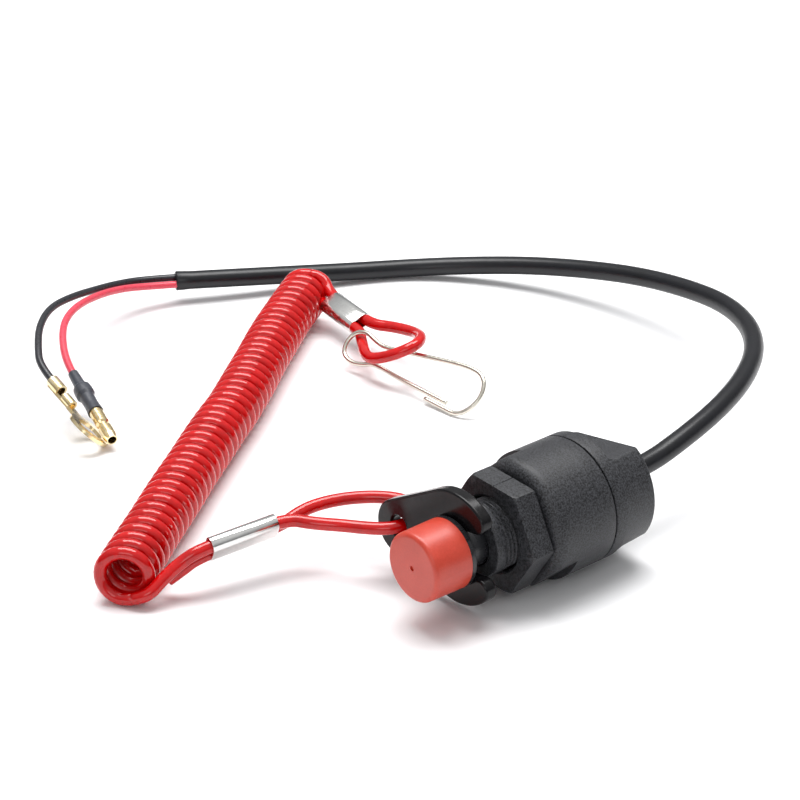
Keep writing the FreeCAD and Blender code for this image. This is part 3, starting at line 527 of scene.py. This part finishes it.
@dataclass
class RearCap:
    """The cap behind the barrel, with two flats and the cable's inlet."""

    start: float = 16.2
    collar_end: float = 19.3
    rear: float = 28.0
    radius: float = 13.94
    rear_radius: float = 13.25
    flat_height: float = 9.54
    flat_facing: float = 100.6
    run_out: float = 1.5
    inlet_radius: float = 2.38
    chamber_radius: float = 6.8
    chamber_rear: float = 24.5
    spigot_radius: float = 11.1
    spigot_front: float = 13.2
    spigot_bore: float = 9.5
    seam: float = 0.18
    seam_depth: float = 1.0
    edge: float = 0.4
    inlet_bevel: float = 0.35
    crispness: float = 220
    collar_ring: float = 17.7
    face_ring: float = 11.7
    sides: int = 288

    def flat_at(self, place: float) -> float:
        """The height of the flats above the axis at a place.

        Args:
            place: The place along the axis.

        Returns:
            The height, in millimetres; far outside the cap in front of the flats.
        """
        along = place - self.collar_end
        if along < 0:
            return 3 * self.radius
        if along < self.run_out:
            rest = self.run_out - along
            return self.flat_height + self.run_out - math.sqrt(self.run_out ** 2 - rest ** 2)
        return self.flat_height

    def shape(self, radius: float, place: float, angle: float) -> float:
        """The cap's radius with its flats.

        Args:
            radius: The radius before they are cut.
            place: The place along the axis.
            angle: The direction in degrees.

        Returns:
            The final radius, in millimetres.
        """
        if radius <= self.spigot_radius:
            return radius
        return soft_least(radius, two_flats(self.flat_at(place), self.flat_facing), angle, self.crispness)

    def rows(self) -> list[tuple[float, float]]:
        """The half section as a closed loop of rows, from the spigot round the outside.

        Returns:
            The radius and the place of each ring.
        """
        rows = [(self.spigot_bore, self.spigot_front), (self.spigot_radius, self.spigot_front),
                (self.spigot_radius, self.start)]
        floor = self.radius - self.seam_depth
        rows += [(floor, self.start), (floor, self.start + self.seam)]
        rows += rounded(self.radius - self.seam, self.start + 2 * self.seam, self.seam, -90, 0, 3)
        rows += [(self.radius, place) for place in (self.collar_ring, self.collar_end - HAIR)]
        fall = (self.rear_radius - self.radius) / (self.rear - self.collar_end)
        places = even(self.collar_end, self.collar_end + self.run_out, 10)
        places += even(self.collar_end + self.run_out, self.rear - self.edge, 8)[1:]
        rows += [(self.radius + fall * (place - self.collar_end), place) for place in places]
        rows += rounded(rows[-1][0] - self.edge, self.rear - self.edge, self.edge, 0, 90, 4)[1:]
        rows += [(self.face_ring, self.rear), (self.inlet_radius + self.inlet_bevel, self.rear),
                 (self.inlet_radius, self.rear - self.inlet_bevel),
                 (self.inlet_radius, self.chamber_rear), (self.chamber_radius, self.chamber_rear),
                 (self.chamber_radius, self.collar_end), (self.spigot_bore, self.collar_end)]
        return rows

    def build(self) -> None:
        """Make the rear cap."""
        draft = turned(self.rows(), even(0, 360, self.sides)[:-1], self.shape)
        draft.piece("switch_rear_cap", MOULDED_NYLON, Body.SWITCH, "rear_cap", sharp=32)


@dataclass
class PanelNut:
    """The hexagon nut on the neck, with its mould's parting lines."""

    front: float = -5.96
    rear: float = -0.55
    across: float = 22.5
    corner: float = -2.06
    chamfer: float = 0.6
    bore: float = 8.08
    parting_depth: float = 0.14
    parting_half_width: float = 0.75
    edge: float = 0.2
    bevel: float = 0.5
    crispness: float = 140
    face_ring: float = 10.2
    # How far out and back the chamfer's rings lie from its start, and the rear ones from the corners
    front_rings: Outline = ((0.1, 0.05), (0.25, 0.08), (0.45, 0.25), (0.7, 0.5), (0.95, 0.75), (1.2, 1.0),
                            (1.6, 1.4), (2.2, 2.0), (2.4, 2.6))
    rear_rings: Outline = ((1.6, -0.35), (0.2, -0.1), (-0.25, 0.0))

    def shape(self, radius: float, place: float, angle: float) -> float:
        """The nut's radius with its six walls and its parting lines.

        Args:
            radius: The radius before they are cut.
            place: The place along the axis.
            angle: The direction in degrees.

        Returns:
            The final radius, in millimetres.
        """
        if radius <= self.bore + self.bevel:
            return radius
        walls = [(self.across / 2, self.corner + 30 + 60 * side) for side in range(6)]
        reach = soft_least(radius, walls, angle, self.crispness)
        off = abs((angle - self.corner) % 180 - 90)
        if off < self.parting_half_width:
            reach -= self.parting_depth * (1 - off / self.parting_half_width)
        return reach

    def rows(self) -> list[tuple[float, float]]:
        """The half section as a closed loop of rows, from the bore round the outside.

        Returns:
            The radius and the place of each ring.
        """
        corners = self.across / math.sqrt(3)
        cone = corners - self.chamfer - self.edge
        rows = [(self.bore, self.front + self.bevel), (self.bore + self.bevel, self.front),
                (self.face_ring, self.front), (cone, self.front)]
        rows += [(cone + out, self.front + back) for out, back in self.front_rings]
        rows += [(corners + out, self.rear + back) for out, back in self.rear_rings]
        rows += [(self.bore + self.bevel, self.rear), (self.bore, self.rear - self.bevel)]
        return rows

    def build(self) -> None:
        """Make the nut."""
        angles = even(0, 360, 360)[:-1]
        for facing in (self.corner + 90, self.corner + 270):
            angles += [facing + shift * self.parting_half_width for shift in (-1.0, -0.5, 0.0, 0.5, 1.0)]
        draft = turned(self.rows(), sorted(angles), self.shape)
        draft.piece("panel_nut", MOULDED_NYLON, Body.NUT, "hex_nut", sharp=28)


def smooth_line(route: Sequence[Point], steps: int = 8) -> list[Vector]:
    """Points of the smooth spline whose control points are a route.

    Args:
        route: The control points, in millimetres.
        steps: The number of points on each of the spline's spans.

    Returns:
        Points along the spline, in millimetres.
    """
    curve = bpy.data.curves.new("route", "CURVE")
    curve.dimensions = "3D"
    spline = curve.splines.new("NURBS")
    spline.points.add(len(route) - 1)
    for point, place in zip(spline.points, route):
        point.co = (*(value * MM for value in place), 1.0)
    spline.order_u = 3
    spline.use_endpoint_u = True
    spline.resolution_u = steps
    carrier = bpy.data.objects.new("route", curve)
    mesh = bpy.data.meshes.new_from_object(carrier)
    line = [vertex.co / MM for vertex in mesh.vertices]
    bpy.data.objects.remove(carrier)
    bpy.data.curves.remove(curve)
    bpy.data.meshes.remove(mesh)
    return line


def line_length(line: Sequence[Vector]) -> float:
    """The length of a line of points."""
    return sum((there - here).length for here, there in zip(line, line[1:]))


def frames_along(line: Sequence[Vector]) -> list[tuple[Vector, Vector, Vector]]:
    """The heading and two directions across it at each point, with no twist between them.

    Args:
        line: The points.

    Returns:
        The heading, the first direction across and the second one, for each point.
    """
    found = []
    across = Vector((0, 0, 1))
    for index in range(len(line)):
        before = line[max(index - 1, 0)]
        after = line[min(index + 1, len(line) - 1)]
        heading = (after - before).normalized()
        across = (across - heading * across.dot(heading)).normalized()
        found.append((heading, across, heading.cross(across)))
    return found


@dataclass
class Tube:
    """A round cord, wire or cable along a smooth line, with rounded rims at its two ends."""

    line: list[Vector]
    radius: float
    sides: int
    rim: float = 0.12
    end_rim: float = 0.12
    swell: Callable[[float], float] = lambda along: 1.0

    def draft(self) -> Draft:
        """The tube's skin with slightly rounded ends.

        Returns:
            The draft, in millimetres.
        """
        draft = Draft()
        rings = []
        along = 0.0
        axes = frames_along(self.line)
        last = len(self.line) - 1
        for index, (middle, (heading, first, second)) in enumerate(zip(self.line, axes)):
            if index:
                along += (middle - self.line[index - 1]).length
            reach = self.radius * self.swell(along)
            if index == 0:
                rings.append(self.circle(draft, middle, first, second, reach - self.rim))
                middle = middle + heading * self.rim
            if index == last:
                rings.append(self.circle(draft, middle - heading * self.end_rim, first, second, reach))
                reach -= self.end_rim
            rings.append(self.circle(draft, middle, first, second, reach))
        draft.skin(rings)
        draft.fan(rings[0], self.line[0])
        draft.fan(rings[-1], self.line[-1], turned_over=True)
        return draft

    def circle(self, draft: Draft, middle: Vector, first: Vector, second: Vector, reach: float) -> list[int]:
        """Add one ring of the tube to a draft."""
        turns = [2 * math.pi * side / self.sides for side in range(self.sides)]
        return draft.ring(middle + first * (reach * math.cos(turn)) + second * (reach * math.sin(turn))
                          for turn in turns)


def metres(point: Sequence[float]) -> Vector:
    """A point in metres."""
    return Vector(point) * MM


@dataclass
class Cable:
    """The black sheath from the rear cap, and the two wires that leave its cut end."""

    sheath_radius: float = 2.3
    wire_radius: float = 0.9
    end_swell: float = 0.07
    end_length: float = 3.0
    sheath_route: Sequence[Point] = (
        (0, 19.9, 0), (0, 37.5, 0), (-0.9, 51.0, 2.3), (-3.6, 64.8, 3.9), (-8.9, 78.2, 4.5),
        (-17.4, 91.3, 4.2), (-29.0, 101.9, 3.2), (-43.5, 109.2, 1.6), (-59.5, 112.0, -0.6),
        (-75.5, 111.9, -2.9), (-91.0, 109.2, -5.6), (-105.5, 103.8, -7.9), (-118.8, 95.6, -10.0),
        (-129.6, 85.6, -11.4), (-137.0, 72.8, -11.2), (-142.9, 58.6, -9.9), (-149.2, 44.6, -8.8),
        (-156.8, 30.4, -8.2),
    )
    black_route: Sequence[Point] = (
        (-155.9, 34.2, -7.8), (-160.2, 23.1, -6.8), (-159.4, 14.5, -5.2), (-156.0, 5.9, -3.0),
        (-152.1, -3.4, -0.7), (-147.8, -12.8, 0.7), (-141.3, -20.3, 0.4), (-134.5, -25.3, -1.0),
        (-128.6, -28.8, -2.8), (-121.1, -29.2, -4.9),
    )
    red_route: Sequence[Point] = (
        (-154.5, 33.0, -8.9), (-158.3, 22.4, -7.9), (-156.9, 14.2, -5.6), (-153.6, 5.4, -3.4),
        (-149.6, -3.6, -2.0), (-144.4, -11.0, -1.7), (-138.0, -16.3, -2.6), (-130.4, -20.5, -4.7),
        (-125.2, -21.9, -5.9),
    )

    def build(self) -> None:
        line = smooth_line(self.sheath_route)
        cut = line_length(line)
        sheath = Tube(line, self.sheath_radius, 32, end_rim=0.25,
                      swell=lambda along: 1 + self.end_swell * max(0.0, 1 - (cut - along) / self.end_length))
        made = sheath.draft().piece("cable_jacket", PVC_JACKET, Body.SWITCH, "cable_sheath", sharp=50)
        for name, route, finish, node, pieces in (
            ("black_lead", self.black_route, BLACK_INSULATION, "black_wire", ("ring_terminal",)),
            ("red_lead", self.red_route, RED_INSULATION, "red_wire", ("bullet_boot", "bullet_terminal")),
        ):
            wire = Tube(smooth_line(route), self.wire_radius, 20)
            made = wire.draft().piece(name, finish, Body.SWITCH, node, sharp=50)


@dataclass
class CrimpSleeve:
    """A flattened tube of sheet, closed round two strands of the cord."""

    name: str
    node: str
    start: Point
    axis: Point
    lean: float
    length: float
    strand_offset: float = 1.42
    inner: float = 1.43
    outer: float = 1.8
    edge: float = 0.12
    seam_depth: float = 0.22
    seam_width: float = 0.13
    seam_angle: float = 28.0
    arc_steps: int = 24
    flat_steps: int = 5

    def heading(self) -> Vector:
        """The direction from the coil's end of the sleeve to its other end."""
        return Vector(self.axis).normalized()

    def side(self) -> Vector:
        """The direction from one strand to the other.

        Returns:
            The direction, of length 1.
        """
        heading = self.heading()
        level = Vector((heading.y, -heading.x, 0)).normalized()
        lean = math.radians(self.lean)
        return level * math.cos(lean) + heading.cross(level) * math.sin(lean)

    def strand(self, side: int, along: float) -> Point:
        """A point on one strand's line.

        Args:
            side: 1 or -1 for the two strands.
            along: The distance from the sleeve's start.

        Returns:
            The point, in millimetres.
        """
        return tuple(Vector(self.start) + self.heading() * along + self.side() * (side * self.strand_offset))

    def section(self, radius: float, seam: float) -> list[tuple[float, float]]:
        """A flattened ring with the seam's groove.

        Args:
            radius: The radius of its round sides.
            seam: The groove's depth.

        Returns:
            Points across the sleeve: along the line between the strands and square to it.
        """
        points = []
        for side in (1, -1):
            for turn in even(-90, 90, self.arc_steps):
                depth = 0.0
                off = abs(turn + 90 - self.seam_angle) * math.radians(1) * radius
                if side == 1 and off < self.seam_width:
                    depth = seam * (1 - off / self.seam_width)
                reach = radius - depth
                across = reach * math.cos(math.radians(turn)) + self.strand_offset
                points.append((side * across, side * reach * math.sin(math.radians(turn))))
            for share in even(0, 1, self.flat_steps)[1:-1]:
                points.append((side * self.strand_offset * (1 - 2 * share), side * radius))
        return points

    def build(self, body: Body) -> bpy.types.Object:
        """Make the sleeve.

        Args:
            body: The body it rides on.

        Returns:
            The new object.
        """
        heading, side = self.heading(), self.side()
        across = heading.cross(side)
        corner = 0.3 * self.edge
        half = [(0.0, self.inner), (0.0, self.outer - self.edge), (corner, self.outer - corner),
                (self.edge, self.outer)]
        other = [(self.length - along, radius) for along, radius in reversed(half)]
        draft = Draft()
        rows = []
        for along, radius in (*half, (self.length / 2, self.outer), *other):
            base = Vector(self.start) + heading * along
            seam = 0.0 if radius == self.inner else self.seam_depth
            rows.append(draft.ring(base + side * first + across * second
                                   for first, second in self.section(radius, seam)))
        draft.skin(rows, looped=True)
        return draft.piece(self.name, ROLLED_ALUMINIUM, body, self.node, sharp=30)


@dataclass
class Lanyard:
    """The red cord: a loop through the stop clip, a long coil and a loop round the hook's eye."""

    radius: float = 1.39
    cut_rim: float = 0.12
    joint_rim: float = 0.01
    coil_radius: float = 4.94
    coil_pitch: float = 3.3
    near_angle: float = 300.0
    far_angle: float = 75.0
    points_per_turn: int = 16
    pitch_waver: float = 0.12
    pitch_wave: float = 0.11
    radius_waver: float = 0.01
    radius_wave: float = 0.047
    run_in: float = 3.2
    near_sleeve: CrimpSleeve = field(default_factory=lambda: CrimpSleeve(
        "near_crimp_sleeve", "near_sleeve", (-38.6, -48.2, -4.6), (2.8, 14.8, 1.4), 120.0, 15.1))
    far_sleeve: CrimpSleeve = field(default_factory=lambda: CrimpSleeve(
        "far_crimp_sleeve", "far_sleeve", (-119.5, 50.2, -7.0), (13.6, -2.0, -0.4), 202.0, 13.7))
    coil_route: Sequence[Point] = (
        (-44.2, -66.8, -7.61), (-83.6, -12.8, -7.61), (-90.7, -1.4, -7.61), (-120.6, 36.4, -7.61),
        (-129.9, 51.4, -7.61),
    )

    def helix(self) -> list[Point]:
        """Control points of the coil, from the switch's end to the hook's end.

        The pitch and the radius waver a little along the coil, as those of the real turns do.

        Returns:
            The points, in millimetres.
        """
        line = smooth_line(self.coil_route, 40)
        length = line_length(line) - 2 * self.radius
        share = (self.near_angle - self.far_angle) / 360
        turns = round(length / self.coil_pitch - share) + share
        count = round(turns * self.points_per_turn)
        # The spline takes 3/4 of a point and 1/8 of each neighbour, so the points lie further out
        lift = 0.75 + 0.25 * math.cos(2 * math.pi / self.points_per_turn)
        points = []
        walked, index = 0.0, 0
        for number in range(count + 1):
            share = number / count
            turn = math.radians(self.near_angle) - share * turns * 2 * math.pi
            wanted = self.radius + length * share
            while walked + (line[index + 1] - line[index]).length < wanted and index < len(line) - 2:
                walked += (line[index + 1] - line[index]).length
                index += 1
            heading = (line[index + 1] - line[index]).normalized()
            waver = self.pitch_waver * math.sin(number * self.pitch_wave)
            middle = line[index] + heading * (wanted - walked + waver)
            sideways = heading.cross(Vector((0, 0, 1))).normalized()
            swell = self.radius_waver * math.sin(number * self.radius_wave)
            reach = self.coil_radius / lift * (1 + swell - self.radius_waver)
            upwards = Vector((0, 0, reach * math.sin(turn)))
            points.append(tuple(middle + sideways * (reach * math.cos(turn)) + upwards))
        return points

    def switch_route(self, helix: list[Point]) -> list[Point]:
        """Control points of the loop through the clip, from the cord's cut end to the coil.

        Args:
            helix: The coil's control points.

        Returns:
            The points, in millimetres.
        """
        first, second = Vector(helix[0]), Vector(helix[1])
        run_in = first - (second - first).normalized() * self.run_in
        sleeve = self.near_sleeve
        return [
            (-42.1, -56.3, -10.2), (-40.8, -53.6, -8.3), sleeve.strand(1, -2.2),
            sleeve.strand(1, sleeve.length + 1.5), (-36.0, -25.3, -2.2), (-33.7, -18.7, -1.5),
            (-29.6, -12.6, -1.2), (-24.6, -8.5, -1.2), (-19.7, -8.1, -1.4), (-16.9, -11.2, -1.7),
            (-17.3, -16.6, -2.2), (-21.4, -19.9, -2.7), (-26.6, -22.9, -3.1), (-31.5, -27.0, -3.2),
            sleeve.strand(-1, sleeve.length + 2.2), sleeve.strand(-1, -2.0), (-40.2, -54.2, -6.0),
            (-40.6, -58.8, -8.6), tuple(run_in), helix[0],
        ]

    def hook_route(self, helix: list[Point]) -> list[Point]:
        """Control points of the loop round the hook's eye, from the coil to the cord's cut end.

        Args:
            helix: The coil's control points.

        Returns:
            The points, in millimetres.
        """
        last, before = Vector(helix[-1]), Vector(helix[-2])
        run_out = last + (last - before).normalized() * self.run_in
        sleeve = self.far_sleeve
        return [
            helix[-1], tuple(run_out), sleeve.strand(1, -2.6), sleeve.strand(1, sleeve.length + 2.2),
            (-97.8, 52.0, -6.5), (-90.6, 52.2, -5.3), (-84.6, 49.5, -3.6), (-81.0, 44.7, -2.9),
            (-83.6, 40.8, -4.9), (-87.6, 39.0, -7.0), (-91.8, 38.2, -8.2), (-101.34, 44.59, -8.13),
            sleeve.strand(-1, sleeve.length + 2.2), sleeve.strand(-1, -2.0),
        ]

    def build(self) -> None:
        near = self.near_sleeve.build(Body.SWITCH)
        far = self.far_sleeve.build(Body.SWITCH)
        points = self.helix()
        coil = Tube(smooth_line(points, 2), self.radius, 16, self.joint_rim, self.joint_rim)
        made = coil.draft().piece("lanyard_spiral", GLOSSY_URETHANE, Body.SWITCH, "lanyard_coil", sharp=60)
        for name, node, route, held, rims, bodies, first, last in (
            ("clip_loop", "switch_loop", self.switch_route(points), near, (self.cut_rim, self.joint_rim),
             (Body.BUTTON, Body.CLIP), (-36.0, -30.0, -3.0), (-20.0, -14.0, -2.0)),
            ("eye_loop", "hook_loop", self.hook_route(points), far, (self.joint_rim, self.cut_rim),
             (Body.SWITCH, Body.HOOK), (-105.9, 46.0, -8.0), (-95.0, 47.7, -7.0)),
        ):
            loop = Tube(smooth_line(route, 10), self.radius, 20, *rims)
            made = loop.draft().piece(name, GLOSSY_URETHANE, None, node, sharp=60)
            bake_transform(made)


@dataclass
class SnapHook:
    """The wire hook: an eye, two arms and a latch that springs against the end of the wire."""

    radius: float = 0.55
    centre: Point = (-97.5, 40.8, -8.34)
    along: Point = (0.992, 0.124, -0.023)
    across: Point = (-0.067, 0.675, 0.735)
    outline: Outline = (
        (30.3, -3.9), (16.0, -3.2), (6.4, -2.1), (3.4, -3.5), (0.0, -4.1), (-3.2, -3.0), (-4.1, 0.0),
        (-3.1, 3.1), (0.0, 4.2), (3.3, 3.1), (6.8, 2.3), (17.0, 4.0), (33.0, 6.3), (37.2, 4.2),
        (38.2, -0.6), (35.0, -5.6), (29.5, -5.35), (24.0, -5.0),
    )

    def build(self) -> None:
        """Make the hook."""
        along = Vector(self.along)
        across = along.cross(Vector(self.across)).normalized().cross(along)
        centre = Vector(self.centre)
        route = [tuple(centre + along * first + across * second) for first, second in self.outline]
        wire = Tube(smooth_line(route, 12), self.radius, 20, rim=0.2, end_rim=0.2)
        wire.draft().piece("wire_snap_hook", NICKEL_WIRE, Body.HOOK, "snap_hook", sharp=60)


@dataclass(frozen=True)
class SoftLamp:
    """A soft rectangular lamp: where it hangs and its size, in metres, and its power in watts."""

    name: str
    place: Point
    size: tuple[float, float]
    power: float


@dataclass
class Studio:
    """The pale floor, the soft light and the camera."""

    floor_level: float = -13.95
    floor_half: float = 3.0
    paper: str = "#F7F7F8"
    paper_roughness: float = 0.6
    lamps: Sequence[SoftLamp] = (
        SoftLamp("overhead_softbox", (-0.2, 0.14, 0.7), (0.7, 0.42), 7.8),
        SoftLamp("front_fill", (0.5, -0.75, 0.45), (0.5, 0.35), 1.2),
    )
    lit_spot: Point = (-0.06, 0.02, 0.0)
    # The light's colour from the horizon, at 0, to straight above, at 1
    sky: Sequence[tuple[float, str]] = (
        (0.0, "#2B2C2F"), (0.12, "#2B2C2F"), (0.3, "#8E9094"), (0.75, "#FFFFFF"))
    sky_strength: float = 0.68
    gloss_share: float = 0.22
    camera_place: Point = (348.38, -329.55, 270.68)
    camera_heading: float = 49.321
    camera_pitch: float = 26.824
    camera_lens: float = 121.5
    sensor_width: float = 36.0
    clip: tuple[float, float] = (0.02, 20.0)

    def build(self) -> None:
        """Make the floor, the lights, the world and the camera."""
        self.floor()
        for lamp in self.lamps:
            self.light(lamp)
        self.world()
        self.camera()

    def floor(self) -> None:
        """Make the floor with a plain pale paint."""
        half, level = self.floor_half, self.floor_level * MM
        mesh = bpy.data.meshes.new("floor")
        corners = [(x * half, y * half, level) for x, y in ((-1, -1), (1, -1), (1, 1), (-1, 1))]
        mesh.from_pydata(corners, [], [(0, 1, 2, 3)])
        floor = bpy.data.objects.new("floor", mesh)
        bpy.context.scene.collection.objects.link(floor)
        material = bpy.data.materials.new("matte_paper")
        material.use_nodes = True
        shader = material.node_tree.nodes["Principled BSDF"]
        shader.inputs["Base Color"].default_value = linear(self.paper)
        shader.inputs["Roughness"].default_value = self.paper_roughness
        mesh.materials.append(material)

    def light(self, lamp: SoftLamp) -> None:
        """Add a lamp that faces the part.

        Args:
            lamp: The lamp.
        """
        light = bpy.data.lights.new(lamp.name, "AREA")
        light.shape = "RECTANGLE"
        light.size, light.size_y = lamp.size
        light.energy = lamp.power
        holder = bpy.data.objects.new(lamp.name, light)
        holder.location = lamp.place
        holder.rotation_mode = "QUATERNION"
        facing = Vector(self.lit_spot) - Vector(lamp.place)
        holder.rotation_quaternion = facing.to_track_quat("-Z", "Y")
        bpy.context.scene.collection.objects.link(holder)

    def world(self) -> None:
        """Light from all sides, brighter above, and plain white where it is seen directly.

        The dark band at the horizon gives the metal and the black plastic their contrast, so
        glossy surfaces reflect only a share of the white.
        """
        world = bpy.data.worlds.new("studio")
        bpy.context.scene.world = world
        world.use_nodes = True
        tree = world.node_tree
        tree.nodes.clear()
        place = add_node(tree, "ShaderNodeTexCoord")
        parts = add_node(tree, "ShaderNodeSeparateXYZ", {"Vector": place.outputs["Generated"]})
        ramp = add_node(tree, "ShaderNodeValToRGB", {"Fac": parts.outputs["Z"]})
        low, high = ramp.color_ramp.elements
        for stop, (height, colour) in ((low, self.sky[0]), (high, self.sky[-1])):
            stop.position, stop.color = height, linear(colour)
        for height, colour in self.sky[1:-1]:
            ramp.color_ramp.elements.new(height).color = linear(colour)
        soft = add_node(tree, "ShaderNodeBackground", {
            "Color": ramp.outputs["Color"], "Strength": self.sky_strength})
        plain = add_node(tree, "ShaderNodeBackground", {"Color": (1.0, 1.0, 1.0, 1.0), "Strength": 1.0})
        rays = add_node(tree, "ShaderNodeLightPath")
        gloss = add_node(tree, "ShaderNodeMath", {0: rays.outputs["Is Glossy Ray"], 1: self.gloss_share},
                         operation="MULTIPLY")
        direct = rays.outputs["Is Camera Ray"]
        for seen in (gloss.outputs[0], rays.outputs["Is Transmission Ray"]):
            direct = add_node(tree, "ShaderNodeMath", {0: direct, 1: seen}, operation="MAXIMUM").outputs[0]
        chosen = add_node(tree, "ShaderNodeMixShader", {0: direct, 1: soft.outputs[0], 2: plain.outputs[0]})
        add_node(tree, "ShaderNodeOutputWorld", {"Surface": chosen.outputs[0]})

    def camera(self) -> None:
        """Set up the camera at the photograph's viewing angle."""
        lens = bpy.data.cameras.new("camera")
        lens.lens = self.camera_lens
        lens.sensor_width = self.sensor_width
        lens.clip_start, lens.clip_end = self.clip
        holder = bpy.data.objects.new("camera", lens)
        holder.location = metres(self.camera_place)
        holder.rotation_euler = (math.radians(90 - self.camera_pitch), 0.0, math.radians(self.camera_heading))
        bpy.context.scene.collection.objects.link(holder)
        bpy.context.scene.camera = holder


CAD_FINISHES = {
    "plunger": MOULDED_ACETAL,
    "red_cap": SATIN_ABS,
    "stem_seal": SEAL_RUBBER,
    "moving_contact": CONTACT_BRASS,
    "fixed_contact_left": CONTACT_BRASS,
    "fixed_contact_right": CONTACT_BRASS,
    "contact_carrier": CARRIER_PLASTIC,
    "cable_clamp": CRIMP_STEEL,
    "stop_clip": POLISHED_PP,
    "return_spring": SPRING_STEEL,
    "black_core_tail": BLACK_INSULATION,
    "red_core_tail": RED_INSULATION,
    "bullet_boot": SOFT_VINYL,
    "bullet_terminal": GILT_BRASS,
    "ring_terminal": GILT_BRASS,
}


def main() -> None:
    """Build every piece in order, then the studio."""
    logging.basicConfig(level=logging.INFO, format="%(name)s: %(message)s")
    for node, finish in CAD_FINISHES.items():
        paints.dress(node, finish)
    for assembly in (Housing(), RearCap(), PanelNut(), Cable(), Lanyard(), SnapHook(), Studio()):
        assembly.build()
        log.info("%s is in place", type(assembly).__name__)
    bpy.context.scene.view_settings.view_transform = "Standard"


if __name__ == "__main__":
    main()
